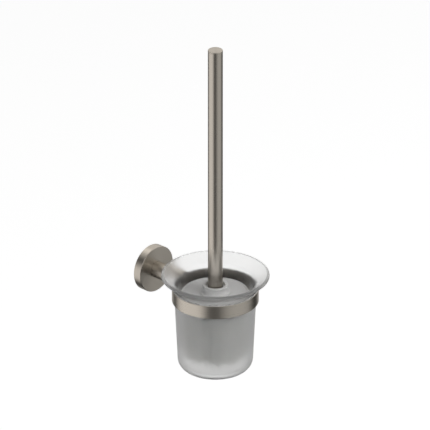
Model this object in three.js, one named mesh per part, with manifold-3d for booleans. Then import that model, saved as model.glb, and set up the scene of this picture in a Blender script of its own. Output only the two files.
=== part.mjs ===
// Wall-mounted toilet brush holder: a round wall flange and arm carry a metal ring, a frosted
// glass cup hangs in the ring, and a brush with a tubular handle stands in the cup.
// Millimetres, +Z up. The origin is the centre of the wall bracket's back face, +Y points into
// the wall, and the arm runs along -Y at z = 0 to the upright axis of the ring, cup and brush.

import * as THREE from 'three';
import { mergeVertices } from 'three/addons/utils/BufferGeometryUtils.js';
import Module from 'manifold-3d';

const wasm = await Module();
wasm.setup();

// ---------- driving dimensions ----------

const GAP = 0.3;                    // clearance between pieces that touch
const CHAMFER = 0.4;                // broken edge on turned metal parts

const CUP_REACH = 95.5;             // wall face to the upright axis

const FLANGE_RADIUS = 25.5;
const FLANGE_DEPTH = 9.5;
const FLANGE_WALL = 2.9;
const FLANGE_FACE = 2.5;

const BRACKET_RADIUS = 20.5;
const BRACKET_PLATE = 2.5;
const BRACKET_RIM = 2.2;
const BRACKET_DEPTH = 6.6;

const SCREW_HOLE_RADIUS = 2.2;
const SCREW_HOLE_SPREAD = 11;       // each wall screw hole's distance from the flange's axis

const GRUB_RADIUS = 2;
const GRUB_HEIGHT = 4.5;            // the grub screw's axis above the wall
const GROOVE_DEPTH = 0.8;           // groove in the bracket that the grub screw bears in
const ARM_SCREW_RADIUS = 2.4;
const ARM_SCREW_HEAD = 4.2;
const ARM_SCREW_HEAD_HEIGHT = 2.8;
const ARM_SCREW_LENGTH = 18;
const DOWEL_RADIUS = 1.2;
const DOWEL_OFFSET = 6.2;
const DOWEL_LENGTH = 7;

const ARM_RADIUS = 9;

const RING_OUTER = 46.3;
const RING_INNER = 44.8;
const RING_HEIGHT = 14.8;
const GASKET_THICKNESS = 0.6;

const GLASS_WALL = 3.8;
const GLASS_FLOOR = 5;
const GLASS_BOTTOM = -87.2;
const GLASS_BASE_RADIUS = 40.3;     // at the top of the bottom corner
const GLASS_NECK_RADIUS = 44.1;     // through the ring
const GLASS_CORNER = 12.7;
const FLARE_START = 7.2;            // height where the wall begins to turn outwards
const FLARE_BEND = 7.2;             // radius of that turn, on the outside of the glass
const FLARE_ANGLE = 54 * Math.PI / 180;
const LIP_RADIUS = 57.9;

const DISC_RADIUS = 36;
const DISC_THICKNESS = 2.2;
const DISC_TOP = 1.7;
const DISC_BEAD = 0.4;              // height of the bead near the disc's edge
const DISC_EDGE = 0.5;              // broken edge of the disc
const COLLAR_RADIUS = 13.7;
const COLLAR_TOP = 11.3;
const COLLAR_FOOT_RADIUS = 16.5;
const COLLAR_RECESS_RADIUS = 10.3;

const CORE_RADIUS = 8;
const CORE_TOP = 8.2;
const CORE_END = -64;
const CORE_FOOT_RADIUS = 3.2;
const INSERT_RADIUS = 5.6;
const INSERT_LENGTH = 12;
const STUD_RADIUS = 3.9;            // M8 thread
const STUD_ENGAGEMENT = 7.1;
const WASHER_THICKNESS = 0.8;

const HANDLE_RADIUS = 7.95;
const HANDLE_WALL = 1;
const HANDLE_TOP = 286.3;
const PLUG_LENGTH = 14;
const CAP_THICKNESS = 1.6;
const CAP_SPIGOT = 8;

const ROW_COUNT = 9;
const ROW_PITCH = 7.3;
const ROW_TEETH = 12;
const ROW_RADIUS = 35;
const LAST_ROW_RADIUS = 31;
const VALLEY_SHARE = 0.86;          // radius between two tufts, as a share of the tufts' radius

const ROUND_FINE = 48;              // sides of the largest round pieces
const ROUND = 36;
const ROUND_SMALL = 24;
const ROUND_TINY = 12;
const THROUGH = 1;                  // how far a cutting tool runs past the face it opens

// ---------- materials ----------

const brushedNickel = (roughness = 0.32) => new THREE.MeshStandardMaterial({
  color: 0x9a9183, roughness, metalness: 1,
});
const zincSteel = () => new THREE.MeshStandardMaterial({ color: 0xa9abac, roughness: 0.35, metalness: 1 });
const brass = () => new THREE.MeshStandardMaterial({ color: 0xb08d4a, roughness: 0.35, metalness: 1 });
const frostedGlass = () => new THREE.MeshStandardMaterial({
  color: 0xe6e9e8, roughness: 0.6, metalness: 0, transparent: true, opacity: 0.4,
});
const clearPlastic = () => new THREE.MeshStandardMaterial({
  color: 0xdfe2e0, roughness: 0.3, metalness: 0, transparent: true, opacity: 0.5,
});
const whitePlastic = () => new THREE.MeshStandardMaterial({ color: 0xdcdcda, roughness: 0.45, metalness: 0 });
const blackRubber = () => new THREE.MeshStandardMaterial({ color: 0x1b1b1b, roughness: 0.8, metalness: 0 });
const nylonBristle = () => new THREE.MeshStandardMaterial({ color: 0xcfcfcb, roughness: 0.7, metalness: 0 });

// ---------- shape helpers ----------

// Joins shared vertices, drops collapsed triangles and turns the faces outwards.
function welded(geometry) {
  geometry.deleteAttribute('normal');
  geometry.deleteAttribute('uv');
  const merged = mergeVertices(geometry, 1e-4);
  const position = merged.attributes.position;
  const corner = [0, 1, 2].map(() => new THREE.Vector3());
  const kept = [];
  let volume = 0;
  for (let i = 0; i < merged.index.count; i += 3) {
    const ids = [0, 1, 2].map((k) => merged.index.getX(i + k));
    if (new Set(ids).size < 3) continue;
    ids.forEach((id, k) => corner[k].fromBufferAttribute(position, id));
    volume += corner[0].dot(corner[1].clone().cross(corner[2]));
    kept.push(...ids);
  }
  if (volume < 0) kept.reverse();
  merged.setIndex(kept);
  return merged;
}

// A turned solid about Z. Each profile point is [radius, height].
function turned(profile, sides = ROUND_SMALL) {
  const onAxis = profile[0][0] === 0 && profile.at(-1)[0] === 0;
  const outline = onAxis ? profile : [...profile, profile[0]];
  const geometry = new THREE.LatheGeometry(outline.map(([r, z]) => new THREE.Vector2(r, z)), sides);
  geometry.rotateX(Math.PI / 2);
  return welded(geometry);
}

// A plain solid cylinder about Z.
const rod = (radius, low, high, sides = ROUND_SMALL) => turned(
  [[0, low], [radius, low], [radius, high], [0, high]],
  sides,
);

// A plain ring about Z.
const sleeve = (inner, outer, low, high, sides = ROUND_SMALL) => turned(
  [[inner, low], [outer, low], [outer, high], [inner, high]],
  sides,
);

function solidOf(geometry) {
  return new wasm.Manifold(new wasm.Mesh({
    numProp: 3,
    vertProperties: new Float32Array(geometry.attributes.position.array),
    triVerts: new Uint32Array(geometry.index.array),
  }));
}

function geometryOf(solid) {
  const mesh = solid.getMesh();
  const geometry = new THREE.BufferGeometry();
  geometry.setAttribute('position', new THREE.BufferAttribute(mesh.vertProperties, 3));
  geometry.setIndex(new THREE.BufferAttribute(mesh.triVerts, 1));
  return geometry;
}

// Cuts each tool out of the body.
function cut(body, ...tools) {
  return geometryOf(tools.reduce((solid, tool) => solid.subtract(solidOf(tool)), solidOf(body)));
}

const moved = (geometry, x, y, z) => geometry.translate(x, y, z);

// Points [radius, height] of an arc about a centre, from one angle to another, ends included.
function arc(centre, radius, from, to, steps) {
  return Array.from({ length: steps + 1 }, (_, i) => {
    const a = from + (to - from) * i / steps;
    return [centre[0] + radius * Math.cos(a), centre[1] + radius * Math.sin(a)];
  });
}

// A hexagonal socket tool, open upwards from its floor.
const hexSocket = (radius, low, high) => rod(radius, low, high, 6);

const object = new THREE.Group();

// Here local z is the distance out from the wall and local y is up.
const wallSide = new THREE.Group();
wallSide.rotation.x = Math.PI / 2;

// Here z is up and the origin is on the ring's axis, at the arm's height.
const cupSide = new THREE.Group();
cupSide.position.y = -CUP_REACH;

object.add(wallSide, cupSide);

function place(group, name, geometry, material, y = 0) {
  const mesh = new THREE.Mesh(geometry, material);
  mesh.name = name;
  mesh.position.y = y;
  group.add(mesh);
}

// ---------- wall bracket ----------

// A dished plate for two wall screws, with a groove round its rim.
function wallBracket() {
  const rimInside = BRACKET_RADIUS - BRACKET_RIM;
  const grooveFloor = BRACKET_RADIUS - GROOVE_DEPTH;
  const grooveHalf = 1.5;
  const [low, high] = [GRUB_HEIGHT - GAP / 2 - grooveHalf, GRUB_HEIGHT - GAP / 2 + grooveHalf];
  const body = turned([
    [0, 0], [BRACKET_RADIUS, 0], [BRACKET_RADIUS, low - GAP], [grooveFloor, low], [grooveFloor, high],
    [BRACKET_RADIUS, high + GAP], [BRACKET_RADIUS, BRACKET_DEPTH], [rimInside, BRACKET_DEPTH],
    [rimInside, BRACKET_PLATE], [0, BRACKET_PLATE],
  ], ROUND);
  const hole = () => rod(SCREW_HOLE_RADIUS, -THROUGH, BRACKET_PLATE + THROUGH, ROUND_TINY);
  const holes = [1, -1].map((side) => moved(hole(), 0, side * SCREW_HOLE_SPREAD, 0));
  return cut(body, ...holes);
}

// ---------- flange and its fasteners ----------

// Turns a solid about Z so that it points down the object, and lifts it off the wall.
const pointingDown = (geometry) => moved(geometry.rotateX(Math.PI / 2), 0, 0, GRUB_HEIGHT);

function flange() {
  const inside = FLANGE_RADIUS - FLANGE_WALL;
  const faceBack = FLANGE_DEPTH - FLANGE_FACE;
  const bore = ARM_SCREW_RADIUS + GAP;
  const body = turned([
    [bore, faceBack], [inside, faceBack], [inside, 0], [FLANGE_RADIUS, 0],
    [FLANGE_RADIUS, FLANGE_DEPTH - CHAMFER], [FLANGE_RADIUS - CHAMFER, FLANGE_DEPTH], [bore, FLANGE_DEPTH],
  ], ROUND);
  const grubBore = rod(GRUB_RADIUS + GAP, inside - THROUGH, FLANGE_RADIUS + THROUGH, ROUND_TINY);
  const dowelBore = rod(DOWEL_RADIUS + GAP, faceBack - THROUGH, FLANGE_DEPTH + THROUGH, ROUND_TINY);
  const dowelHole = moved(dowelBore, 0, DOWEL_OFFSET, 0);
  return cut(body, pointingDown(grubBore), dowelHole);
}

function flangeGrubScrew() {
  const tip = BRACKET_RADIUS - GROOVE_DEPTH + GAP;
  const end = FLANGE_RADIUS - 0.5;
  const [taperHeight, socketRadius, socketDepth] = [1.5, 1.15, 1.8];
  const body = turned([
    [0, tip], [GRUB_RADIUS / 2, tip], [GRUB_RADIUS, tip + taperHeight], [GRUB_RADIUS, end], [0, end],
  ], ROUND_TINY);
  return pointingDown(cut(body, hexSocket(socketRadius, end - socketDepth, end + THROUGH)));
}

function armScrew() {
  const seat = FLANGE_DEPTH - FLANGE_FACE - GAP;
  const headEnd = seat - ARM_SCREW_HEAD_HEIGHT;
  const end = seat + ARM_SCREW_LENGTH;
  const [chamfer, socketRadius, socketDepth] = [1, 2, 1.9];
  const body = turned([
    [0, headEnd], [ARM_SCREW_HEAD, headEnd], [ARM_SCREW_HEAD, seat], [ARM_SCREW_RADIUS, seat],
    [ARM_SCREW_RADIUS, end - chamfer], [ARM_SCREW_RADIUS - chamfer, end], [0, end],
  ], ROUND_TINY);
  return cut(body, hexSocket(socketRadius, headEnd - THROUGH, headEnd + socketDepth));
}

// A round bar whose end is coped to fit round the ring.
function arm() {
  const start = FLANGE_DEPTH + GAP;
  const bore = ARM_SCREW_RADIUS + GAP;
  const boreEnd = FLANGE_DEPTH - FLANGE_FACE + ARM_SCREW_LENGTH + THROUGH;
  const uncut = CUP_REACH - RING_INNER + ARM_RADIUS;
  const body = turned(
    [[0, boreEnd], [bore, boreEnd], [bore, start], [ARM_RADIUS, start], [ARM_RADIUS, uncut], [0, uncut]],
    ROUND_SMALL,
  );
  const copeHalf = 2 * ARM_RADIUS;
  const cope = rod(RING_OUTER + GAP, -copeHalf, copeHalf, ROUND_FINE).rotateX(Math.PI / 2);
  const dowelEnd = FLANGE_DEPTH - FLANGE_FACE + DOWEL_LENGTH + THROUGH;
  const dowelHole = moved(rod(DOWEL_RADIUS + GAP, 0, dowelEnd, ROUND_TINY), 0, DOWEL_OFFSET, 0);
  return cut(body, moved(cope, 0, 0, CUP_REACH), dowelHole);
}

function fixture() {
  place(wallSide, 'wall_bracket', wallBracket(), zincSteel());
  place(wallSide, 'flange', flange(), brushedNickel());
  place(wallSide, 'flange_grub_screw', flangeGrubScrew(), zincSteel());
  place(wallSide, 'arm_screw', armScrew(), zincSteel());
  const dowelStart = FLANGE_DEPTH - FLANGE_FACE + GAP;
  const dowel = rod(DOWEL_RADIUS, dowelStart, dowelStart + DOWEL_LENGTH, ROUND_TINY);
  place(wallSide, 'arm_dowel', dowel, zincSteel(), DOWEL_OFFSET);
  place(wallSide, 'arm', arm(), brushedNickel());
}

// ---------- ring, gasket and glass ----------

function ring() {
  const top = RING_HEIGHT / 2;
  return turned([
    [RING_INNER, -top], [RING_OUTER - CHAMFER, -top], [RING_OUTER, CHAMFER - top],
    [RING_OUTER, top - CHAMFER], [RING_OUTER - CHAMFER, top], [RING_INNER, top],
  ], ROUND_FINE);
}

function ringGasket() {
  const low = RING_HEIGHT / 2 + GAP;
  const inset = 0.1;
  return sleeve(RING_INNER + inset, RING_OUTER - 2 * inset, low, low + GASKET_THICKNESS, ROUND_FINE);
}

// The mouth's outer or inner outline, from the neck up to the lip's round edge.
function flare(offset, steps) {
  const centre = [GLASS_NECK_RADIUS + FLARE_BEND, FLARE_START];
  return arc(centre, FLARE_BEND + offset, Math.PI, Math.PI - FLARE_ANGLE, steps);
}

function glassCup() {
  const taperHeight = -RING_HEIGHT / 2 - GLASS_BOTTOM - GLASS_CORNER;
  const taper = Math.atan2(GLASS_NECK_RADIUS - GLASS_BASE_RADIUS, taperHeight);
  const corner = [GLASS_BASE_RADIUS - GLASS_CORNER, GLASS_BOTTOM + GLASS_CORNER];
  const floor = GLASS_BOTTOM + GLASS_FLOOR;
  const innerCorner = GLASS_CORNER - GLASS_WALL;
  const lip = GLASS_WALL / 2;
  const outer = flare(0, 5);
  // The straight part of the mouth ends where its round edge reaches the lip's radius.
  const bendEnd = outer.at(-1);
  const middle = [bendEnd[0] - lip * Math.cos(FLARE_ANGLE), bendEnd[1] + lip * Math.sin(FLARE_ANGLE)];
  const straight = (LIP_RADIUS - lip - middle[0]) / Math.sin(FLARE_ANGLE);
  const lipCentre = [LIP_RADIUS - lip, middle[1] + straight * Math.cos(FLARE_ANGLE)];
  return turned([
    [0, GLASS_BOTTOM],
    ...arc(corner, GLASS_CORNER, -Math.PI / 2, -taper, 6),
    [GLASS_NECK_RADIUS, -RING_HEIGHT / 2],
    ...outer,
    ...arc(lipCentre, lip, -FLARE_ANGLE, Math.PI - FLARE_ANGLE, 5),
    ...flare(GLASS_WALL, 5).reverse(),
    [GLASS_NECK_RADIUS - GLASS_WALL, -RING_HEIGHT / 2],
    ...arc([corner[0], floor + innerCorner], innerCorner, -taper, -Math.PI / 2, 5),
    [0, floor],
  ], ROUND);
}

function cupHolder() {
  place(cupSide, 'ring', ring(), brushedNickel(0.3));
  place(cupSide, 'ring_gasket', ringGasket(), clearPlastic());
  place(cupSide, 'glass_cup', glassCup(), frostedGlass());
}

// ---------- brush head ----------

function splashDisc() {
  const low = DISC_TOP - DISC_THICKNESS;
  const beadTop = DISC_TOP + DISC_BEAD;
  const beadInside = DISC_RADIUS - 1.6;
  return turned([
    [CORE_RADIUS + GAP, low], [DISC_RADIUS - DISC_EDGE, low], [DISC_RADIUS, low + DISC_EDGE],
    [DISC_RADIUS, DISC_TOP], [DISC_RADIUS - DISC_EDGE, beadTop], [beadInside, beadTop],
    [beadInside - DISC_EDGE, DISC_TOP], [CORE_RADIUS + GAP, DISC_TOP],
  ], ROUND);
}

// A spool-shaped collar: a flat foot, a fillet up to the waist, and a rim round the recess.
function hubCollar() {
  const low = DISC_TOP + GAP;
  const bore = CORE_RADIUS + GAP;
  const edge = 0.6;
  const footHeight = 1;
  const rimLow = COLLAR_TOP - 2;
  const waist = COLLAR_RADIUS - edge;
  const fillet = COLLAR_FOOT_RADIUS - waist;
  return turned([
    [bore, low], [COLLAR_FOOT_RADIUS, low],
    ...arc([COLLAR_FOOT_RADIUS, low + footHeight + fillet], fillet, -Math.PI / 2, -Math.PI, 4),
    [waist, rimLow - edge], [COLLAR_RADIUS, rimLow], [COLLAR_RADIUS, COLLAR_TOP - edge],
    [COLLAR_RADIUS - edge, COLLAR_TOP], [COLLAR_RECESS_RADIUS + CHAMFER, COLLAR_TOP],
    [COLLAR_RECESS_RADIUS, COLLAR_TOP - CHAMFER], [COLLAR_RECESS_RADIUS, CORE_TOP], [bore, CORE_TOP],
  ]);
}

// The core that the tufts are set in, with a slim foot that stands on the glass floor.
function brushCore() {
  const boreEnd = CORE_TOP - INSERT_LENGTH - 2 * GAP;
  const bore = INSERT_RADIUS + GAP;
  const footStart = CORE_END - (CORE_RADIUS - CORE_FOOT_RADIUS);
  const footEnd = GLASS_BOTTOM + GLASS_FLOOR + GAP;
  const edge = 1;
  return turned([
    [0, boreEnd], [bore, boreEnd], [bore, CORE_TOP], [CORE_RADIUS, CORE_TOP], [CORE_RADIUS, CORE_END],
    [CORE_FOOT_RADIUS, footStart], [CORE_FOOT_RADIUS, footEnd + edge], [CORE_FOOT_RADIUS - edge, footEnd],
    [0, footEnd],
  ]);
}

// One row of tufts round the core, as a ring with a toothed edge. Each tooth is a flat crown
// followed by a shallow valley, at these shares of its turn.
function bristleRow(outer, low, high) {
  const step = 2 * Math.PI / ROW_TEETH;
  const tooth = [[0.1, 1], [0.5, 1], [0.8, VALLEY_SHARE]];
  const points = Array.from({ length: ROW_TEETH }, (_, i) => tooth.map(([turn, share]) => {
    const a = (i + turn) * step;
    return new THREE.Vector2(outer * share * Math.cos(a), outer * share * Math.sin(a));
  })).flat();
  const hole = new THREE.Path();
  hole.absarc(0, 0, CORE_RADIUS + 2 * GAP, 0, 2 * Math.PI, true);
  const outline = new THREE.Shape(points);
  outline.holes.push(hole);
  const geometry = new THREE.ExtrudeGeometry(outline, {
    depth: high - low, bevelEnabled: false, curveSegments: ROUND_TINY,
  });
  return welded(moved(geometry, 0, 0, low));
}

function brushHead() {
  const insertTop = CORE_TOP - GAP;
  place(cupSide, 'splash_disc', splashDisc(), whitePlastic());
  place(cupSide, 'hub_collar', hubCollar(), whitePlastic());
  place(cupSide, 'brush_core', brushCore(), whitePlastic());
  const insert = sleeve(STUD_RADIUS + GAP, INSERT_RADIUS, insertTop - INSERT_LENGTH, insertTop);
  place(cupSide, 'hub_insert', insert, brass());
  const firstTop = DISC_TOP - DISC_THICKNESS - GAP;
  for (let i = 0; i < ROW_COUNT; i += 1) {
    const top = firstTop - i * ROW_PITCH;
    const outer = i === ROW_COUNT - 1 ? LAST_ROW_RADIUS : ROW_RADIUS;
    const row = bristleRow(outer, top - ROW_PITCH + 2 * GAP, top);
    place(cupSide, `bristle_row_${i + 1}`, row, nylonBristle());
  }
}

// ---------- handle ----------

// A tube with a threaded plug and stud at its foot and a turned cap at its top.
function brushHandle() {
  const washerLow = CORE_TOP + GAP;
  const foot = washerLow + WASHER_THICKNESS + GAP;
  const bore = HANDLE_RADIUS - HANDLE_WALL;
  const fit = bore - GAP;
  const thread = STUD_RADIUS + GAP;
  const threadDepth = 0.8;
  const capLow = HANDLE_TOP - CAP_THICKNESS;
  const tubeTop = capLow - GAP;
  const spigotEnd = tubeTop - CAP_SPIGOT;
  const plugTop = foot + PLUG_LENGTH;
  const studTop = plugTop - 3;
  const studLow = CORE_TOP - GAP - STUD_ENGAGEMENT;

  const washer = sleeve(thread, HANDLE_RADIUS, washerLow, washerLow + WASHER_THICKNESS);
  const cap = turned([
    [0, spigotEnd], [fit, spigotEnd], [fit, capLow], [HANDLE_RADIUS, capLow],
    [HANDLE_RADIUS, HANDLE_TOP - CHAMFER], [HANDLE_RADIUS - CHAMFER, HANDLE_TOP], [0, HANDLE_TOP],
  ]);
  const plug = turned([
    [0, studTop + GAP], [thread, studTop + GAP], [thread, foot], [fit, foot], [fit, plugTop], [0, plugTop],
  ]);
  const stud = turned([
    [0, studLow], [STUD_RADIUS - threadDepth, studLow], [STUD_RADIUS, studLow + threadDepth],
    [STUD_RADIUS, studTop], [0, studTop],
  ]);
  place(cupSide, 'seal_washer', washer, blackRubber());
  place(cupSide, 'handle_tube', sleeve(bore, HANDLE_RADIUS, foot, tubeTop), brushedNickel());
  place(cupSide, 'handle_cap', cap, brushedNickel());
  place(cupSide, 'handle_insert', plug, zincSteel());
  place(cupSide, 'handle_stud', stud, zincSteel());
}

fixture();
cupHolder();
brushHead();
brushHandle();

export default object;
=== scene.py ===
"""Wall-mounted toilet brush holder: metal flange, arm and ring, frosted glass cup, long-handled brush.

Shapes are written in millimetres and placed in the model's frame, which is in metres, with +Z up and
+Y into the wall.
"""

import math
import random

import bmesh
import bpy
from mathutils import Matrix, Vector


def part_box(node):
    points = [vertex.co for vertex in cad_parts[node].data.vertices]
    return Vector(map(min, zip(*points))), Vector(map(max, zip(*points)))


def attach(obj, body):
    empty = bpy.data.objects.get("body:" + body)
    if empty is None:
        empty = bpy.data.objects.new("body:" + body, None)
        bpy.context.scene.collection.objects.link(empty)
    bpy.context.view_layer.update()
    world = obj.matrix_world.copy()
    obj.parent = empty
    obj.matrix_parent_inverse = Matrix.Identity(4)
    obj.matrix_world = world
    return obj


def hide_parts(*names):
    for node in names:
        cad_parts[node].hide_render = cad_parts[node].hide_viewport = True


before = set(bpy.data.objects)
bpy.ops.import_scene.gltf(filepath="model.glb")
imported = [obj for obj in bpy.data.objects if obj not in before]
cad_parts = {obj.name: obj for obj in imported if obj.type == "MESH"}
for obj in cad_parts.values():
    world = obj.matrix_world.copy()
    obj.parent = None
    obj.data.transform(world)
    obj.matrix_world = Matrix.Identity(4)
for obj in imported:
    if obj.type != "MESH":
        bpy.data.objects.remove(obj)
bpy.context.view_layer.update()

MM = 0.001

# ---------- places taken from the frame ----------


def box_mm(node):
    """Lowest and highest corners of a CAD node, in millimetres."""
    low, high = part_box(node)
    return low / MM, high / MM


def radius_of(node):
    """Outer radius of an upright round CAD node, in millimetres."""
    low, high = box_mm(node)
    return (high.x - low.x) / 2


CUP_LOW, CUP_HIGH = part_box("glass_cup")
AXIS_Y = (CUP_LOW.y + CUP_HIGH.y) / 2
TO_METRES = Matrix.Diagonal((MM, MM, MM, 1))
UPRIGHT = Matrix.Translation((0, AXIS_Y, 0)) @ TO_METRES
OUT_OF_WALL = Matrix.Rotation(math.pi / 2, 4, "X") @ TO_METRES

# ---------- outlines ----------

ALMOST_HALF = 0.49         # the share of a side that an arc at its end may use


def rounded(points, steps=4, closed=False):
    """The outline with its corners turned into arcs.

    A point is (radius, height) or (radius, height, fillet).
    """
    outline = []
    last = len(points) - 1
    for i, point in enumerate(points):
        here = Vector(point[:2])
        fillet = point[2] if len(point) > 2 else 0
        if not fillet or (not closed and i in (0, last)):
            outline.append(tuple(here))
            continue
        before = Vector(points[i - 1][:2]) - here
        after = Vector(points[(i + 1) % len(points)][:2]) - here
        half = before.angle(after) / 2
        room = ALMOST_HALF * min(before.length, after.length)
        tangent = min(fillet / math.tan(half), room)
        fillet = tangent * math.tan(half)
        centre = here + (before.normalized() + after.normalized()).normalized() * fillet / math.sin(half)
        start = here + before.normalized() * tangent - centre
        end = here + after.normalized() * tangent - centre
        turn = math.pi - 2 * half
        for k in range(steps + 1):
            u = k / steps
            spoke = (start * math.sin((1 - u) * turn) + end * math.sin(u * turn)) / math.sin(turn)
            outline.append(tuple(centre + spoke))
    return outline


def arc(centre, radius, start, end, steps):
    """Points of an arc, ends included. Angles are in degrees."""
    angles = [math.radians(start + (end - start) * i / steps) for i in range(steps + 1)]
    return [(centre[0] + radius * math.cos(a), centre[1] + radius * math.sin(a)) for a in angles]


# ---------- meshes ----------


def as_piece(name, bm, place):
    """Makes a smooth-shaded object from a bmesh in millimetres."""
    bmesh.ops.recalc_face_normals(bm, faces=bm.faces)
    mesh = bpy.data.meshes.new(name)
    bm.to_mesh(mesh)
    bm.free()
    mesh.transform(place)
    piece = bpy.data.objects.new(name, mesh)
    bpy.context.scene.collection.objects.link(piece)
    smooth(piece)
    return piece


SHARP_ANGLE = 35.0


def smooth(piece):
    """Smooth shading that stays flat on flat faces and breaks at sharp edges."""
    piece.data.shade_smooth()
    piece.data.set_sharp_from_angle(angle=math.radians(SHARP_ANGLE))
    normals = piece.modifiers.new("face_weighted_normals", "WEIGHTED_NORMAL")
    normals.keep_sharp = True
    normals.weight = 100


def skin(bm, rings, closed):
    """Joins rings of vertices with faces. A ring of one vertex is a point on the axis."""
    pairs = list(zip(rings, rings[1:])) + ([(rings[-1], rings[0])] if closed else [])
    for lower, upper in pairs:
        for i in range(max(len(lower), len(upper))):
            below = [lower[k % len(lower)] for k in (i, i + 1)]
            above = [upper[k % len(upper)] for k in (i + 1, i)]
            bm.faces.new(dict.fromkeys(below + above))


def turned(name, outline, place=UPRIGHT, sides=128, closed=False):
    """A body turned about the local Z axis from an outline of (radius, height) points."""
    bm = bmesh.new()
    rings = []
    for r, z in outline:
        count = sides if r > 1e-6 else 1
        turns = [2 * math.pi * i / count for i in range(count)]
        rings.append([bm.verts.new((r * math.cos(a), r * math.sin(a), z)) for a in turns])
    skin(bm, rings, closed)
    return as_piece(name, bm, place)


RINGS_PER_PITCH = 8        # sections of a thread in one turn


def threaded(name, core, crest, pitch, low, high, place, sides=36):
    """A right-hand thread between two heights. It fades out over a pitch at both ends, which are closed."""
    bm = bmesh.new()
    levels = round((high - low) / pitch * RINGS_PER_PITCH)
    rings = [[bm.verts.new((0, 0, low))]]
    for k in range(levels + 1):
        z = low + (high - low) * k / levels
        fade = min(1.0, (high - z) / pitch, (z - low) / pitch)
        ring = []
        for i in range(sides):
            turn = i / sides
            phase = (z / pitch - turn) % 1.0
            tooth = 1 - abs(2 * phase - 1)
            r = core + (crest - core) * tooth * fade
            angle = 2 * math.pi * turn
            ring.append(bm.verts.new((r * math.cos(angle), r * math.sin(angle), z)))
        rings.append(ring)
    rings.append([bm.verts.new((0, 0, high))])
    skin(bm, rings, closed=False)
    return as_piece(name, bm, place)


def prism(radius, low, high, sides):
    """A prism in millimetres about local Z, as a bmesh."""
    bm = bmesh.new()
    size = {"radius1": radius, "radius2": radius, "depth": high - low}
    made = bmesh.ops.create_cone(bm, segments=sides, cap_ends=True, **size)
    bmesh.ops.translate(bm, vec=(0, 0, (low + high) / 2), verts=made["verts"])
    return bm


def carve(piece, tools):
    """Cuts each tool, a bmesh and its placing matrix, out of the piece."""
    for bm, place in tools:
        mesh = bpy.data.meshes.new("tool")
        bm.to_mesh(mesh)
        bm.free()
        mesh.transform(place)
        tool = bpy.data.objects.new("tool", mesh)
        bpy.context.scene.collection.objects.link(tool)
        piece.modifiers.clear()
        cut = piece.modifiers.new("cut", "BOOLEAN")
        cut.operation = "DIFFERENCE"
        cut.solver = "EXACT"
        cut.object = tool
        graph = bpy.context.evaluated_depsgraph_get()
        uncut = piece.data
        piece.data = bpy.data.meshes.new_from_object(piece.evaluated_get(graph))
        piece.modifiers.clear()
        bpy.data.objects.remove(tool)
        bpy.data.meshes.remove(mesh)
        bpy.data.meshes.remove(uncut)
        piece.data.name = piece.name
        smooth(piece)
    return piece


def joined(name, pieces):
    """One piece made of several."""
    bm = bmesh.new()
    for piece in pieces:
        bm.from_mesh(piece.data)
        bpy.data.objects.remove(piece)
    return as_piece(name, bm, Matrix.Identity(4))


# ---------- materials ----------


def add_node(tree, kind, inputs=None, out=0, **settings):
    """Adds a shader node and returns one of its outputs. An input is a value or another node's output."""
    node = tree.nodes.new("ShaderNode" + kind)
    for key, value in settings.items():
        setattr(node, key, value)
    for key, value in (inputs or {}).items():
        if isinstance(value, bpy.types.NodeSocket):
            tree.links.new(value, node.inputs[key])
        else:
            node.inputs[key].default_value = value
    return node.outputs[out] if node.outputs else None


class Material:
    """A new Principled material, with a short call for adding and wiring nodes."""

    def __init__(self, name, **sockets):
        self.block = bpy.data.materials.new(name)
        self.block.use_nodes = True
        self.tree = self.block.node_tree
        self.shader = self.tree.nodes["Principled BSDF"]
        for socket, value in sockets.items():
            self.shader.inputs[socket.replace("_", " ")].default_value = value

    def node(self, kind, inputs=None, out=0, **settings):
        return add_node(self.tree, kind, inputs, out, **settings)

    def set(self, socket, output):
        self.tree.links.new(output, self.shader.inputs[socket])

    def noise(self, vector, scale, detail=2.0, roughness=0.5):
        """Noise from 0 to 1. scale is its number of cells in a metre, or in a unit of the vector."""
        inputs = {"Vector": vector, "Scale": scale, "Detail": detail, "Roughness": roughness}
        return self.node("TexNoise", inputs)

    def ranged(self, value, low, high, start=0.25, end=0.75):
        """The value, spread from start..end to low..high."""
        inputs = {"Value": value, "From Min": start, "From Max": end, "To Min": low, "To Max": high}
        return self.node("MapRange", inputs)

    def shade(self, colour, factor):
        """The colour, brightened or darkened by a factor near 1."""
        scaled = self.node("VectorMath", {0: colour[:3], "Scale": factor}, operation="SCALE")
        self.set("Base Color", scaled)

    def bump(self, height, strength, distance):
        """Relief from a height between 0 and 1. distance is the full height in metres."""
        inputs = {"Height": height, "Strength": strength, "Distance": distance}
        self.set("Normal", self.node("Bump", inputs))


def grain(material, centre, axis, along, across):
    """Coordinates that run round an axis slowly and along it, or out from it, fast."""
    position = material.node("TexCoord", out="Object")
    local = material.node("VectorMath", {0: position, 1: centre}, operation="SUBTRACT")
    keep = tuple(0.0 if part else 1.0 for part in axis)
    radial = material.node("VectorMath", {0: local, 1: keep}, operation="MULTIPLY")
    distance = material.node("VectorMath", {0: radial}, out="Value", operation="LENGTH")
    height = material.node("VectorMath", {0: local, 1: axis}, out="Value", operation="DOT_PRODUCT")
    sweep = material.node("Math", {0: distance, 1: height}, operation="ADD")
    scaled = material.node("Math", {0: sweep, 1: across}, operation="MULTIPLY")
    along_part = material.node("VectorMath", {0: radial, "Scale": along}, operation="SCALE")
    across_part = material.node("VectorMath", {0: axis, "Scale": scaled}, operation="SCALE")
    return material.node("VectorMath", {0: along_part, 1: across_part}, operation="ADD")


FINE_GRAIN = (30, 2600)    # noise cells in a metre, round the axis and along it or out from it
BROAD_GRAIN = (12, 420)
METAL_CLOUD = 38           # noise cells in a metre
GRAIN_WEAR = 0.01          # how far the fine grain and the cloud change the roughness
CLOUD_WEAR = 0.008
QUARTER_TURN = 0.25        # lays the stretched highlight across the grain


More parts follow.
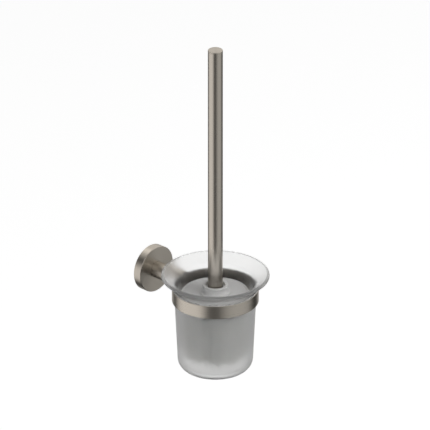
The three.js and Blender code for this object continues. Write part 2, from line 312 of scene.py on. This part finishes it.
def brushed_metal(name, colour, roughness, centre, axis, anisotropic=0.5, contrast=0.015):
    """Metal with a grain brushed round an axis."""
    metal = Material(name, Metallic=1.0, Anisotropic=anisotropic, Anisotropic_Rotation=QUARTER_TURN)
    fine = metal.noise(grain(metal, centre, axis, *FINE_GRAIN), 1.0, 3.0, 0.6)
    broad = metal.noise(grain(metal, centre, axis, *BROAD_GRAIN), 1.0, 2.0)
    cloud = metal.noise(metal.node("TexCoord", out="Object"), METAL_CLOUD, 3.0)
    streak = metal.node("Math", {0: fine, 1: broad}, operation="ADD")
    metal.shade(colour, metal.ranged(streak, 1 - contrast, 1 + contrast, 0.6, 1.4))
    scratched = metal.ranged(fine, roughness - GRAIN_WEAR, roughness + GRAIN_WEAR)
    worn = metal.ranged(cloud, -CLOUD_WEAR, CLOUD_WEAR)
    metal.set("Roughness", metal.node("Math", {0: scratched, 1: worn}, operation="ADD"))
    metal.bump(fine, 0.025, 0.00003)
    upright = "XYZ"[list(axis).index(1)]
    metal.set("Tangent", metal.node("Tangent", direction_type="RADIAL", axis=upright))
    return metal.block


def moulded_plastic(name, colour, roughness):
    """Moulded plastic with a faint surface texture and cloudy shade."""
    contrast, wear = 0.03, 0.05
    plastic = Material(name)
    position = plastic.node("TexCoord", out="Object")
    cloud = plastic.noise(position, 60, 3.0)
    fine = plastic.noise(position, 2200, 2.0)
    plastic.shade(colour, plastic.ranged(cloud, 1 - contrast, 1 + contrast))
    plastic.set("Roughness", plastic.ranged(cloud, roughness - wear, roughness + wear))
    plastic.bump(fine, 0.08, 0.00005)
    return plastic.block


def filament(name, colour):
    """Nylon filament: each strand has its own shade."""
    nylon = Material(name, Roughness=0.5)
    strand = nylon.node("NewGeometry", out="Random Per Island")
    position = nylon.node("TexCoord", out="Object")
    mottle = nylon.ranged(nylon.noise(position, 300, 2.0), 0.95, 1.05)
    own = nylon.ranged(strand, 0.9, 1.07, 0, 1)
    nylon.shade(colour, nylon.node("Math", {0: own, 1: mottle}, operation="MULTIPLY"))
    return nylon.block


def frosted_glass(name, roughness, cover=1.0, clear=1.0):
    """Glass with an etched surface. cover is its opacity, clear the share that isn't milky."""
    wear = 0.02
    tint = (*GLASS_TINT, 1)
    glass = Material(name, Base_Color=tint, IOR=1.5, Transmission_Weight=clear, Alpha=cover)
    position = glass.node("TexCoord", out="Object")
    cloud = glass.noise(position, 90, 3.0)
    glass.set("Roughness", glass.ranged(cloud, roughness - wear, roughness + wear))
    glass.bump(glass.noise(position, 1800, 3.0, 0.7), 0.03, 0.00004)
    return glass.block


def clear_vinyl(name):
    """The soft, slightly milky washer between the ring and the glass."""
    vinyl = Material(name, Base_Color=(*VINYL, 1), IOR=1.45, Transmission_Weight=0.35)
    position = vinyl.node("TexCoord", out="Object")
    vinyl.set("Roughness", vinyl.ranged(vinyl.noise(position, 120, 2.0), 0.2, 0.35))
    return vinyl.block


def matt_rubber(name):
    """Dull black rubber, a little dusty."""
    rubber = Material(name)
    position = rubber.node("TexCoord", out="Object")
    rubber.shade(RUBBER, rubber.ranged(rubber.noise(position, 150, 3.0), 0.8, 1.3))
    rubber.set("Roughness", rubber.ranged(rubber.noise(position, 400, 3.0), 0.6, 0.8))
    rubber.bump(rubber.noise(position, 3000, 2.0), 0.2, 0.00005)
    return rubber.block


NICKEL = (0.53, 0.495, 0.445)
ZINC = (0.62, 0.63, 0.64)
BRASS = (0.68, 0.50, 0.22)
WHITE = (0.70, 0.70, 0.695)
NYLON = (0.93, 0.93, 0.92)
RUBBER = (0.022, 0.022, 0.022)
VINYL = (0.62, 0.62, 0.615)
GLASS_TINT = (0.89, 0.89, 0.885)

CUP_CENTRE = (0.0, AXIS_Y, 0.0)    # the grain runs round lines through these points
WALL_CENTRE = (0.0, 0.0, 0.0)
UP = (0.0, 0.0, 1.0)
OUTWARD = (0.0, 1.0, 0.0)

LOOKS = {
    "upright_nickel": brushed_metal("upright_nickel", NICKEL, 0.28, CUP_CENTRE, UP),
    "wallward_nickel": brushed_metal("wallward_nickel", NICKEL, 0.34, WALL_CENTRE, OUTWARD),
    "upright_zinc": brushed_metal("upright_zinc", ZINC, 0.34, CUP_CENTRE, UP, 0.2, 0.08),
    "wallward_zinc": brushed_metal("wallward_zinc", ZINC, 0.34, WALL_CENTRE, OUTWARD, 0.2, 0.08),
    "brass": brushed_metal("brass", BRASS, 0.3, CUP_CENTRE, UP, 0.3, 0.08),
    "white_plastic": moulded_plastic("white_plastic", WHITE, 0.42),
    "filament": filament("filament", NYLON),
    "frosted_glass": frosted_glass("frosted_glass", 0.31),
    "satin_glass": frosted_glass("satin_glass", 0.34),
    "ground_glass": frosted_glass("ground_glass", 0.5, 0.6, 0.72),
    "clear_vinyl": clear_vinyl("clear_vinyl"),
    "rubber": matt_rubber("rubber"),
}


def finish_piece(piece, node, body, look):
    """Gives a piece its material, hides the CAD node it stands for and hangs the piece on the body that
    carries it.
    """
    piece.data.materials.clear()
    piece.data.materials.append(LOOKS[look])
    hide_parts(node)
    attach(piece, body)
    return piece


# ---------- wall bracket ----------

FIT = 0.3                  # clearance that the CAD model keeps between touching pieces
SCREW_HOLE_RADIUS = 2.2
SCREW_HOLE_HEIGHT = 11.0   # of the upper hole above the middle, and of the lower one below it
HOLE_SIDES = 40
OVERCUT = 1.0              # how far a cutting tool stands out of what it cuts


def grub_distance():
    """How far the grub screw's axis is from the wall."""
    low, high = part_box("flange_grub_screw")
    return -(low.y + high.y) / 2 / MM


def wall_bracket():
    """A shallow metal cup, screwed to the wall, with a groove that the grub screw bites into."""
    node = "wall_bracket"
    outer, depth = radius_of(node), -box_mm(node)[0].y
    plate, rim = 2.5, 2.2
    groove_start, groove_end = grub_distance() - 1.8, grub_distance() + 1.6
    floor, slant = outer - 0.8, 0.4
    outline = [
        (0, 0), (outer, 0, 0.3), (outer, groove_start, 0.15), (floor, groove_start + slant, 0.15),
        (floor, groove_end - slant, 0.15), (outer, groove_end, 0.15), (outer, depth, 0.4),
        (outer - rim, depth, 0.4), (outer - rim, plate, 0.8), (0, plate),
    ]
    bracket = turned(node, rounded(outline), OUT_OF_WALL, 128)
    holes = [
        (prism(SCREW_HOLE_RADIUS, -OVERCUT, plate + OVERCUT, HOLE_SIDES),
         Matrix.Translation((0, 0, height * MM)) @ OUT_OF_WALL)
        for height in (SCREW_HOLE_HEIGHT, -SCREW_HOLE_HEIGHT)
    ]
    finish_piece(carve(bracket, holes), node, "wall_mount", "wallward_zinc")


# ---------- flange and arm ----------


def grub_place():
    """Places the grub screw's own frame: local Z points down, out of the flange's lower side."""
    turn = Matrix.Rotation(math.pi, 4, "X")
    return Matrix.Translation((0, -grub_distance() * MM, 0)) @ turn @ TO_METRES


def flange():
    """A round cover with a turned-back rim. The arm's screw passes its bore."""
    node = "flange"
    outer, depth = radius_of(node), -box_mm(node)[0].y
    wall, face, bore, grub_hole = 2.9, 2.5, 2.7, 2.15
    outline = [
        (bore, depth - face), (outer - wall, depth - face, 0.8), (outer - wall, 0, 0.3), (outer, 0, 0.25),
        (outer, depth, 0.7), (bore, depth),
    ]
    piece = turned(node, rounded(outline, 5, closed=True), OUT_OF_WALL, 192, closed=True)
    hole = prism(grub_hole, outer - wall - OVERCUT, outer + 2 * OVERCUT, HOLE_SIDES)
    carve(piece, [(hole, grub_place())])
    finish_piece(piece, node, "wall_mount", "wallward_nickel")


def flange_grub_screw():
    """A headless screw with a hexagon socket and a blunt cone point."""
    node = "flange_grub_screw"
    low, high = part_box(node)
    place = grub_place()
    tip, end = -high.z / MM, -low.z / MM
    core, crest, pitch = 1.65, 2.0, 0.7
    point, overlap = 1.0, 0.1
    key, key_depth = 1.15, 1.8
    outline = [(0, tip), (1.0, tip, 0.2), (1.7, tip + point), (0, tip + point)]
    cone = turned(f"{node}_tip", rounded(outline), place, 32)
    body = threaded(f"{node}_thread", core, crest, pitch, tip + point - overlap, end, place)
    socket = prism(key, end - key_depth, end + OVERCUT, 6)
    piece = joined(node, [cone, carve(body, [(socket, place)])])
    finish_piece(piece, node, "wall_mount", "wallward_zinc")


def arm_screw():
    """A cap screw from inside the flange into the arm."""
    node = "arm_screw"
    low, high = box_mm(node)
    end, head_end = -low.y, -high.y
    head, head_height = radius_of(node), 2.8
    key, key_depth = 2.0, 1.9
    core, crest, pitch, overlap = 1.95, 2.4, 0.8, 0.05
    seat = head_end + head_height
    outline = [(0, head_end), (head, head_end, 0.3), (head, seat, 0.1), (0, seat)]
    cap = turned(f"{node}_head", rounded(outline), OUT_OF_WALL, 64)
    carve(cap, [(prism(key, head_end - OVERCUT, head_end + key_depth, 6), OUT_OF_WALL)])
    shank = threaded(f"{node}_thread", core, crest, pitch, seat - overlap, end, OUT_OF_WALL)
    finish_piece(joined(node, [cap, shank]), node, "wall_mount", "wallward_zinc")


def arm_dowel():
    """A pin that keeps the arm from turning on the flange."""
    node = "arm_dowel"
    low, high = box_mm(node)
    place = Matrix.Translation((0, 0, (low.z + high.z) / 2 * MM)) @ OUT_OF_WALL
    radius = radius_of(node)
    outline = [(0, -high.y), (radius, -high.y, 0.3), (radius, -low.y, 0.3), (0, -low.y)]
    finish_piece(turned(node, rounded(outline), place, 32), node, "wall_mount", "wallward_zinc")


def arm():
    """A round bar whose outer end is coped to the ring and joined to it by a small braze fillet."""
    node = "arm"
    radius = radius_of(node)
    start = -box_mm("flange")[0].y
    ring_radius = radius_of("ring")
    reach = -AXIS_Y / MM
    sides, fillet, spread, edge = 96, 1.0, 0.6, 0.3
    edge_middle = 0.3 * edge
    bm = bmesh.new()

    def cope(x):
        return reach - math.sqrt(ring_radius ** 2 - x * x)

    def ring_at(r, height):
        turns = [2 * math.pi * i / sides for i in range(sides)]
        return [bm.verts.new((r * math.cos(a), r * math.sin(a), height(r * math.cos(a)))) for a in turns]

    rings = [[bm.verts.new((0, 0, start))]]
    rings.append(ring_at(radius - edge, lambda x: start))
    rings.append(ring_at(radius - edge_middle, lambda x: start + edge_middle))
    rings.append(ring_at(radius, lambda x: start + edge))
    for share in (0.25, 0.5, 0.75, 0.95):
        rings.append(ring_at(radius, lambda x, s=share: (start + edge) * (1 - s) + (cope(x) - fillet) * s))
    fillet_steps = 5
    for step in range(fillet_steps + 1):
        a = math.pi / 2 * step / fillet_steps
        grow, along = fillet * (1 - math.cos(a)) * spread, fillet * math.sin(a)
        rings.append(ring_at(radius + grow, lambda x, d=along: cope(x) - fillet + d))
    for share in (0.66, 0.33):
        rings.append(ring_at(radius * share, cope))
    rings.append([bm.verts.new((0, 0, cope(0)))])
    skin(bm, rings, closed=False)
    piece = as_piece(node, bm, OUT_OF_WALL)
    finish_piece(piece, node, "wall_mount", "wallward_nickel")


# ---------- ring, gasket and glass ----------


def ring():
    """The band that carries the glass."""
    low, high = box_mm("ring")
    outer, thickness = radius_of("ring"), 1.5
    inner = outer - thickness
    outline = [(inner, low.z, 0.3), (outer, low.z, 0.45), (outer, high.z, 0.45), (inner, high.z, 0.3)]
    piece = turned("ring", rounded(outline, 5, closed=True), UPRIGHT, 224, closed=True)
    finish_piece(piece, "ring", "wall_mount", "upright_nickel")


def ring_gasket():
    """A washer that lies on the ring, round the glass."""
    low, high = box_mm("ring_gasket")
    outer, width = radius_of("ring_gasket"), 0.9
    inner, bottom = outer - width, low.z - FIT
    outline = [(inner, bottom, 0.2), (outer, bottom, 0.2), (outer, high.z, 0.25), (inner, high.z, 0.25)]
    piece = turned("ring_gasket", rounded(outline, 3, closed=True), UPRIGHT, 192, closed=True)
    finish_piece(piece, "ring_gasket", "wall_mount", "clear_vinyl")


def glass_cup():
    """The cup: a rounded base, a slight taper, a flared mouth and a round lip."""
    low, high = box_mm("glass_cup")
    wall, floor, corner = 3.8, 5.0, 12.7
    base, neck, neck_height = 40.3, 44.1, box_mm("ring")[0].z
    bend, angle = 7.2, 54.0
    sides, bend_steps, lip_steps = 224, 12, 8
    lip = wall / 2
    corner_centre = (base - corner, low.z + corner)
    taper = math.degrees(math.atan2(neck - base, neck_height - corner_centre[1]))
    lip_centre = (radius_of("glass_cup") - lip, high.z - lip)
    slope = math.radians(angle)
    middle_radius = neck + bend - (bend + lip) * math.cos(slope)
    straight = (lip_centre[0] - middle_radius) / math.sin(slope)
    bend_height = lip_centre[1] - straight * math.cos(slope) - (bend + lip) * math.sin(slope)
    bend_centre = (neck + bend, bend_height)
    inner_corner_centre = (corner_centre[0], low.z + floor + corner - wall)
    halfway = corner_centre[0] / 2
    outside = [
        (0, low.z), (halfway, low.z), *arc(corner_centre, corner, -90, -taper, 14),
        *arc(bend_centre, bend, 180, 180 - angle, bend_steps),
        *arc(lip_centre, lip, -angle, 90 - angle, lip_steps),
    ]
    inside = [
        *arc(lip_centre, lip, 90 - angle, 180 - angle, lip_steps)[1:],
        *arc(bend_centre, bend + wall, 180 - angle, 180, bend_steps),
        *arc(inner_corner_centre, corner - wall, -taper, -90, 12),
        (halfway, low.z + floor), (0, low.z + floor),
    ]
    piece = turned("glass_cup", outside + inside, UPRIGHT, sides)
    finish_piece(piece, "glass_cup", "cup", "frosted_glass")
    for look in ("satin_glass", "ground_glass"):
        piece.data.materials.append(LOOKS[look])
    lip_starts = (len(outside) - lip_steps - 1) * sides
    lip_ends = (len(outside) + lip_steps - 1) * sides
    for face in piece.data.polygons[:lip_ends]:
        face.material_index = 1 if face.index < lip_starts else 2


# ---------- brush head ----------

HEAD = "brush_head"
THREAD_PLAY = 0.1          # how much wider a threaded bore is than the stud


def splash_disc():
    """A flat disc with a low rounded rim."""
    low, high = box_mm("splash_disc")
    edge, bore = radius_of("splash_disc"), radius_of("brush_core")
    rim, slope, rise, outer_band = 1.7, 0.7, 0.4, 6
    top = high.z - rise
    outline = [
        (bore, low.z), (edge - outer_band, low.z), (edge, low.z, 0.7), (edge, high.z, 0.5),
        (edge - rim, high.z, 0.4), (edge - rim - slope, top, 0.5), (bore, top),
    ]
    piece = turned("splash_disc", rounded(outline, 4, closed=True), UPRIGHT, 192, closed=True)
    finish_piece(piece, "splash_disc", HEAD, "white_plastic")


def hub_collar():
    """The collar on the disc: a hollow foot fillet, a thin rim and a recess that takes the handle's foot."""
    low, high = box_mm("hub_collar")
    foot, rim, recess, bore = radius_of("hub_collar"), 13.7, 10.3, radius_of("brush_core")
    rim_height, foot_height, step = 2.0, 1.0, 0.6
    waist = rim - step
    fillet = foot - waist
    top, bottom = high.z, low.z - FIT
    floor = box_mm("brush_core")[1].z
    upper = [
        (waist, top - rim_height - 1.4), (waist, top - rim_height - step, 0.5), (rim, top - rim_height, 0.4),
        (rim, top, 0.9), (recess, top, 0.7), (recess, floor, 0.5), (bore, floor),
    ]
    outline = [(bore, bottom), (foot, bottom)]
    outline += arc((foot, bottom + foot_height + fillet), fillet, -90, -180, 10)
    outline += rounded(upper)
    piece = turned("hub_collar", outline, UPRIGHT, 128, closed=True)
    finish_piece(piece, "hub_collar", HEAD, "white_plastic")


def brush_core():
    """The moulded stem that carries the bristles, with a bore for the brass bush and a slim foot."""
    low, high = box_mm("brush_core")
    outer = radius_of("brush_core")
    end, shoulder, foot, bore, depth = -64.0, 5.0, 3.2, 5.6, 12.3
    outline = [
        (0, high.z - depth), (bore, high.z - depth), (bore, high.z, 0.3), (outer, high.z, 0.3),
        (outer, end, 3.0), (foot, end - shoulder, 2.0), (foot, low.z, 1.2), (0, low.z),
    ]
    piece = turned("brush_core", rounded(outline), UPRIGHT, 72)
    finish_piece(piece, "brush_core", HEAD, "white_plastic")


def hub_insert():
    """A knurled brass bush with a threaded bore."""
    low, high = box_mm("hub_insert")
    outer = radius_of("hub_insert")
    bore = radius_of("handle_stud") + THREAD_PLAY
    ridges, spacing, ridge_width, ridge_height = 8, 1.2, 0.5, 0.35
    end = outer - 0.3
    knurl = []
    for k in range(ridges):
        z = low.z + 1.0 + spacing * k
        knurl += [(outer, z, 0.1), (outer - ridge_height, z + ridge_width, 0.1)]
    outline = [(bore, low.z, 0.2), (end, low.z, 0.2), *knurl, (end, high.z, 0.2), (bore, high.z, 0.4)]
    piece = turned("hub_insert", rounded(outline, 2, closed=True), UPRIGHT, 64, closed=True)
    finish_piece(piece, "hub_insert", HEAD, "brass")


TUFTS = 18                 # tufts in a row
STRANDS = 130              # strands in a tuft
STRAND_RADIUS = 0.2
STRAND_THINNING = 0.25     # share of its radius that a strand loses towards its tip
STRAND_STEPS = 3
STRAND_SIDES = 5
TUFT_ROOT = 1.5            # radius of a tuft where it leaves the core
ROOT_DEPTH = 1.0           # how deep it stands in the core
TUFT_TIP = (7.2, 4.4)      # half-spread of a tuft's tip, round the core and up and down it
TUFT_TURN = 0.04           # how far a tuft may be off its place, as an angle round the core
TUFT_LEAN = 0.5            # and how far up or down its tip may be
TUFT_EXCESS = 0.4          # how far the longest tufts reach past the row's CAD radius
TUFT_LOSS = 0.9            # how much shorter than those the shortest are
STRAND_LOSS = 1.8          # how much shorter than its tuft a strand may be
LAST_ROW_LEAN = 7.5        # how far the strands of the last row may point down


def strand_rings(root, tip, droop):
    """Sections of one strand, from its root to its tip, bent a little downwards."""
    along = (tip - root).normalized()
    side = along.cross(Vector((0, 0, 1))).normalized()
    over = side.cross(along)
    sections = []
    for k in range(STRAND_STEPS + 1):
        u = k / STRAND_STEPS
        sag = droop * 4 * u * (1 - u)
        centre = root.lerp(tip, u) - Vector((0, 0, sag))
        thick = STRAND_RADIUS * (1 - STRAND_THINNING * u)
        angles = [2 * math.pi * j / STRAND_SIDES for j in range(STRAND_SIDES)]
        sections.append([centre + (side * math.cos(a) + over * math.sin(a)) * thick for a in angles])
    return sections


def bristle_row(index, last):
    """One row of tufts. The last row fans out below the end of the core."""
    node = f"bristle_row_{index}"
    low, high = box_mm(node)
    reach = radius_of(node)
    core = radius_of("brush_core")
    middle = (low.z + high.z) / 2
    draw = random.Random(1000 + index)
    bm = bmesh.new()
    for tuft in range(TUFTS):
        offset = (index % 2) / 2
        turn = 2 * math.pi * (tuft + offset) / TUFTS + draw.uniform(-TUFT_TURN, TUFT_TURN)
        tuft_reach = reach + TUFT_EXCESS - TUFT_LOSS * draw.random() ** 2
        tuft_lean = draw.uniform(-TUFT_LEAN, TUFT_LEAN)
        outward = Vector((math.cos(turn), math.sin(turn), 0))
        sideways = Vector((-math.sin(turn), math.cos(turn), 0))
        for _ in range(STRANDS):
            spin, share = draw.uniform(0, 2 * math.pi), math.sqrt(draw.random())
            a, b = math.cos(spin) * share, math.sin(spin) * share
            root = outward * (core - ROOT_DEPTH) + sideways * a * TUFT_ROOT
            root.z = middle + b * TUFT_ROOT
            lean = tuft_lean - (LAST_ROW_LEAN * math.sqrt(draw.random()) if last else 0.0)
            spread = Vector((0, 0, b * TUFT_TIP[1] + lean)) + sideways * a * TUFT_TIP[0]
            length = tuft_reach - STRAND_LOSS * draw.random() ** 2
            tip = outward * length + spread + Vector((0, 0, middle))
            flat = Vector((tip.x, tip.y, 0))
            tip -= flat * max(0.0, 1 - length / flat.length)
            sections = strand_rings(root, tip, draw.uniform(-0.4, 0.8))
            rings = [[bm.verts.new(point) for point in section] for section in sections]
            skin(bm, rings, closed=False)
            bm.faces.new(rings[0])
            bm.faces.new(rings[-1])
    piece = as_piece(node, bm, UPRIGHT)
    finish_piece(piece, node, HEAD, "filament")


def bristles():
    """Every bristle row of the frame, from the top down."""
    count = sum(1 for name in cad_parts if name.startswith("bristle_row_"))
    for index in range(1, count + 1):
        bristle_row(index, last=index == count)


# ---------- handle ----------

GRIP = "handle"
TUBE_WALL = 1.0


def seal_washer():
    """The rubber washer under the handle's foot."""
    low, high = box_mm("seal_washer")
    outer, bore = radius_of("seal_washer"), radius_of("handle_stud") + 2 * THREAD_PLAY
    bottom, top = low.z - FIT / 2, high.z + FIT / 2
    outline = [(bore, bottom, 0.2), (outer, bottom, 0.25), (outer, top, 0.25), (bore, top, 0.2)]
    piece = turned("seal_washer", rounded(outline, 3, closed=True), UPRIGHT, 96, closed=True)
    finish_piece(piece, "seal_washer", "handle_seal", "rubber")


def handle_tube():
    """The long tube of the handle."""
    low, high = box_mm("handle_tube")
    outer = radius_of("handle_tube")
    bore, top = outer - TUBE_WALL, high.z + FIT / 2
    levels, margin = 24, 1.0
    length = high.z - low.z - 2 * margin
    side = [(outer, low.z + margin + length * k / levels) for k in range(levels + 1)]
    outline = [(bore, low.z, 0.2), (outer, low.z, 0.3), *side, (outer, top, 0.12), (bore, top, 0.12)]
    piece = turned("handle_tube", rounded(outline, 4, closed=True), UPRIGHT, 128, closed=True)
    finish_piece(piece, "handle_tube", GRIP, "upright_nickel")


def handle_cap():
    """The plug in the top of the tube, with a rounded edge."""
    low, high = box_mm("handle_cap")
    outer = radius_of("handle_cap")
    spigot = outer - TUBE_WALL - 0.1
    seat = box_mm("handle_tube")[1].z + FIT / 2
    outline = [
        (0, low.z), (spigot, low.z, 0.5), (spigot, seat), (outer, seat, 0.12), (outer, high.z, 0.8),
        (outer - 3.0, high.z), (0, high.z),
    ]
    piece = turned("handle_cap", rounded(outline, 5), UPRIGHT, 128)
    finish_piece(piece, "handle_cap", GRIP, "upright_nickel")


def handle_insert():
    """The plug in the foot of the tube that holds the stud."""
    low, high = box_mm("handle_insert")
    outer, roof = radius_of("handle_insert"), 3.0
    bore, bore_end = radius_of("handle_stud") + THREAD_PLAY, high.z - roof
    outline = [
        (0, bore_end), (bore, bore_end), (bore, low.z, 0.3), (outer, low.z, 0.4), (outer, high.z, 0.4),
        (0, high.z),
    ]
    piece = turned("handle_insert", rounded(outline), UPRIGHT, 64)
    finish_piece(piece, "handle_insert", GRIP, "upright_zinc")


def handle_stud():
    """The M8 stud that screws into the brush head."""
    low, high = box_mm("handle_stud")
    crest, depth, pitch = radius_of("handle_stud"), 0.65, 1.25
    piece = threaded("handle_stud", crest - depth, crest, pitch, low.z, high.z, UPRIGHT, sides=48)
    finish_piece(piece, "handle_stud", GRIP, "upright_zinc")


# ---------- camera, light and floor ----------

VIEW_AZIMUTH = -46.8
VIEW_ELEVATION = 26.0
VIEW_DISTANCE = 12.0
VIEW_WIDTH = 0.4558        # width of the picture at the object, in metres
TARGET_HEIGHT = 0.0930
TARGET_SHIFT = -0.00037    # to the right of the upright axis, as the camera sees it
SENSOR = 36.0
FLOOR_HEIGHT = -0.45


def direction(azimuth, elevation):
    """Unit vector away from the object. Azimuth 0 is the camera's own side, 90 is on its right."""
    a, e = math.radians(VIEW_AZIMUTH + azimuth), math.radians(elevation)
    return Vector((math.sin(a) * math.cos(e), -math.cos(a) * math.cos(e), math.sin(e)))


def camera():
    """A distant camera with a long lens, because the photo shows no perspective."""
    data = bpy.data.cameras.new("camera")
    data.sensor_width = SENSOR
    data.lens = VIEW_DISTANCE * SENSOR / VIEW_WIDTH
    data.clip_end = 100
    eye = bpy.data.objects.new("camera", data)
    bpy.context.scene.collection.objects.link(eye)
    back = direction(0, VIEW_ELEVATION)
    right = direction(90, 0)
    target = Vector((0, AXIS_Y, TARGET_HEIGHT)) + right * TARGET_SHIFT
    eye.location = target + back * VIEW_DISTANCE
    eye.rotation_mode = "QUATERNION"
    eye.rotation_quaternion = (-back).to_track_quat("-Z", "Y")
    bpy.context.scene.camera = eye


# A studio as the metal mirrors it. For each softbox: azimuth from the camera's side, half-widths of
# its bright middle and of the whole, elevations where it starts, is full, is full still and ends, radiance.
SOFTBOXES = [
    (-74, 20, 61, (-58, -34, -4, 34), (0.96, 0.93, 0.90)),
    (65, 8, 61, (-62, -40, -6, 20), (0.54, 0.535, 0.52)),
    (0, 10, 34, (-60, -40, -10, 10), (0.10, 0.098, 0.095)),
    (0, 24, 60, (4, 20, 50, 75), (0.80, 0.78, 0.75)),
    (94, 30, 66, (0, 18, 60, 80), (0.80, 0.78, 0.74)),
    (180, 26, 60, (-6, 12, 60, 80), (0.84, 0.81, 0.77)),
    (180, 10, 44, (-62, -44, -8, 6), (0.55, 0.54, 0.52)),
    (-130, 18, 44, (30, 46, 70, 85), (0.80, 0.78, 0.74)),
]
STUDIO_DARK = (0.03, 0.03, 0.03)     # between the softboxes
SOFT_ABOVE = (0.30, 0.30, 0.30)      # light on matt surfaces, from above and from below
SOFT_BELOW = (1.0, 1.0, 1.0)
SOFT_EDGE = 0.6                      # sine of the elevation at which each of the two is alone
FILL_BEFORE = 12.2                   # times SOFT_ABOVE: light on what stands inside the glass, from
FILL_BEHIND = 0.45                   # about the camera's side and from the far side
FILL_AZIMUTH = -166                  # the middle of that far side
FILL_EDGES = (-1.0, -0.3)            # cosines from that middle between which the fill changes
BEHIND_GLASS = (1.05, 1.05, 1.05)    # seen through the glass, along the camera's line and across it
BESIDE_GLASS = (0.23, 0.23, 0.23)
BEHIND_EDGES = (0.1, 0.94)           # cosines from that line between which the view changes
BACKDROP = (1.05, 1.05, 1.05)


def studio():
    """Gives mirrored, scattered and transmitted light their own surroundings before a pale backdrop."""
    world = bpy.data.worlds.new("studio")
    bpy.context.scene.world = world
    world.use_nodes = True
    tree = world.node_tree
    tree.nodes.clear()

    def node(kind, inputs=None, out=0, **settings):
        return add_node(tree, kind, inputs, out, **settings)

    towards = node("TexCoord", out="Generated")
    height = node("SeparateXYZ", {0: towards}, out=2)
    level = node("VectorMath", {0: towards, 1: (1, 1, 0)}, operation="MULTIPLY")
    level = node("VectorMath", {0: level}, operation="NORMALIZE")

    def window(value, start, full):
        limits = {"Value": value, "From Min": start, "From Max": full}
        return node("MapRange", limits, interpolation_type="SMOOTHSTEP")

    def cosine(one, other):
        return node("VectorMath", {0: one, 1: other}, out="Value", operation="DOT_PRODUCT")

    def mix(share, low, high):
        return node("Mix", {0: share, 6: low, 7: high}, data_type="RGBA", out=2)

    def sine(angle):
        return math.sin(math.radians(angle))

    total = None
    for azimuth, middle, edge, (bottom, low, high, top), radiance in SOFTBOXES:
        facing = cosine(level, direction(azimuth, 0))
        across = window(facing, sine(90 - edge), sine(90 - middle))
        upward = node("Math", {0: window(height, sine(bottom), sine(low)), 1: across}, operation="MULTIPLY")
        both = node("Math", {0: window(height, sine(top), sine(high)), 1: upward}, operation="MULTIPLY")
        lit = node("VectorMath", {0: radiance, "Scale": both}, operation="SCALE")
        total = node("VectorMath", {0: total, 1: lit}, operation="ADD") if total else lit
    mirrored = node("VectorMath", {0: total, 1: STUDIO_DARK}, operation="ADD")
    soft = mix(window(height, -SOFT_EDGE, SOFT_EDGE), (*SOFT_BELOW, 1), (*SOFT_ABOVE, 1))
    behind = node("Math", {0: cosine(level, direction(180, 0))}, operation="ABSOLUTE")
    clear = mix(window(behind, *BEHIND_EDGES), (*BESIDE_GLASS, 1), (*BEHIND_GLASS, 1))
    away = cosine(towards, direction(FILL_AZIMUTH, -VIEW_ELEVATION))
    fill = node("Mix", {0: window(away, *FILL_EDGES), 2: FILL_BEFORE, 3: FILL_BEHIND})
    inside = node("VectorMath", {0: SOFT_ABOVE, "Scale": fill}, operation="SCALE")
    path = tree.nodes.new("ShaderNodeLightPath").outputs
    scattered = node("Math", {0: path["Diffuse Depth"], 1: 0.5}, operation="GREATER_THAN")
    seen = mix(path["Is Camera Ray"], soft, (*BACKDROP, 1))
    seen = mix(path["Is Glossy Ray"], seen, mirrored)
    seen = mix(path["Is Transmission Ray"], seen, mix(scattered, clear, inside))
    background = node("Background", {"Color": seen, "Strength": 1.0})
    node("OutputWorld", {"Surface": background})
    world.cycles.sampling_method = "NONE"


KEY_SIZE = 1.4
KEY_POWER = 14
KEY_FROM = (70, 50)        # azimuth and elevation
KEY_DISTANCE = 2.2


def key_light():
    """A large soft lamp from the upper right, which only lights matt surfaces."""
    data = bpy.data.lights.new("key", "AREA")
    data.shape = "DISK"
    data.size = KEY_SIZE
    data.energy = KEY_POWER
    lamp = bpy.data.objects.new("key", data)
    bpy.context.scene.collection.objects.link(lamp)
    towards = direction(*KEY_FROM)
    lamp.location = Vector((0, AXIS_Y, 0)) + towards * KEY_DISTANCE
    lamp.rotation_mode = "QUATERNION"
    lamp.rotation_quaternion = towards.to_track_quat("Z", "Y")
    lamp.visible_camera = lamp.visible_glossy = lamp.visible_transmission = False


FLOOR_RADIUS = 5.0
FLOOR_GLOW = 0.66


def floor():
    """A pale floor that the camera sees only from above, and that casts no light on the object."""
    bm = bmesh.new()
    bmesh.ops.create_circle(bm, cap_ends=True, segments=96, radius=FLOOR_RADIUS)
    mesh = bpy.data.meshes.new("floor")
    bm.to_mesh(mesh)
    bm.free()
    piece = bpy.data.objects.new("floor", mesh)
    bpy.context.scene.collection.objects.link(piece)
    piece.location.z = FLOOR_HEIGHT
    pale = Material("pale_floor", Base_Color=(0.8, 0.8, 0.8, 1), Roughness=0.9, Specular_IOR_Level=0.0)
    pale.shader.inputs["Emission Color"].default_value = (1, 1, 1, 1)
    pale.shader.inputs["Emission Strength"].default_value = FLOOR_GLOW
    below = pale.node("NewGeometry", out="Backfacing")
    clear = pale.node("BsdfTransparent")
    mixed = pale.node("MixShader", {0: below, 1: pale.shader.outputs[0], 2: clear})
    pale.tree.links.new(mixed, pale.tree.nodes["Material Output"].inputs["Surface"])
    mesh.materials.append(pale.block)
    piece.visible_glossy = piece.visible_diffuse = piece.visible_transmission = piece.visible_shadow = False


def build():
    wall_bracket()
    flange()
    flange_grub_screw()
    arm_screw()
    arm_dowel()
    arm()
    ring()
    ring_gasket()
    glass_cup()
    splash_disc()
    hub_collar()
    brush_core()
    hub_insert()
    bristles()
    seal_washer()
    handle_tube()
    handle_cap()
    handle_insert()
    handle_stud()
    floor()
    key_light()
    studio()
    camera()
    bpy.context.scene.view_settings.view_transform = "Standard"


build()
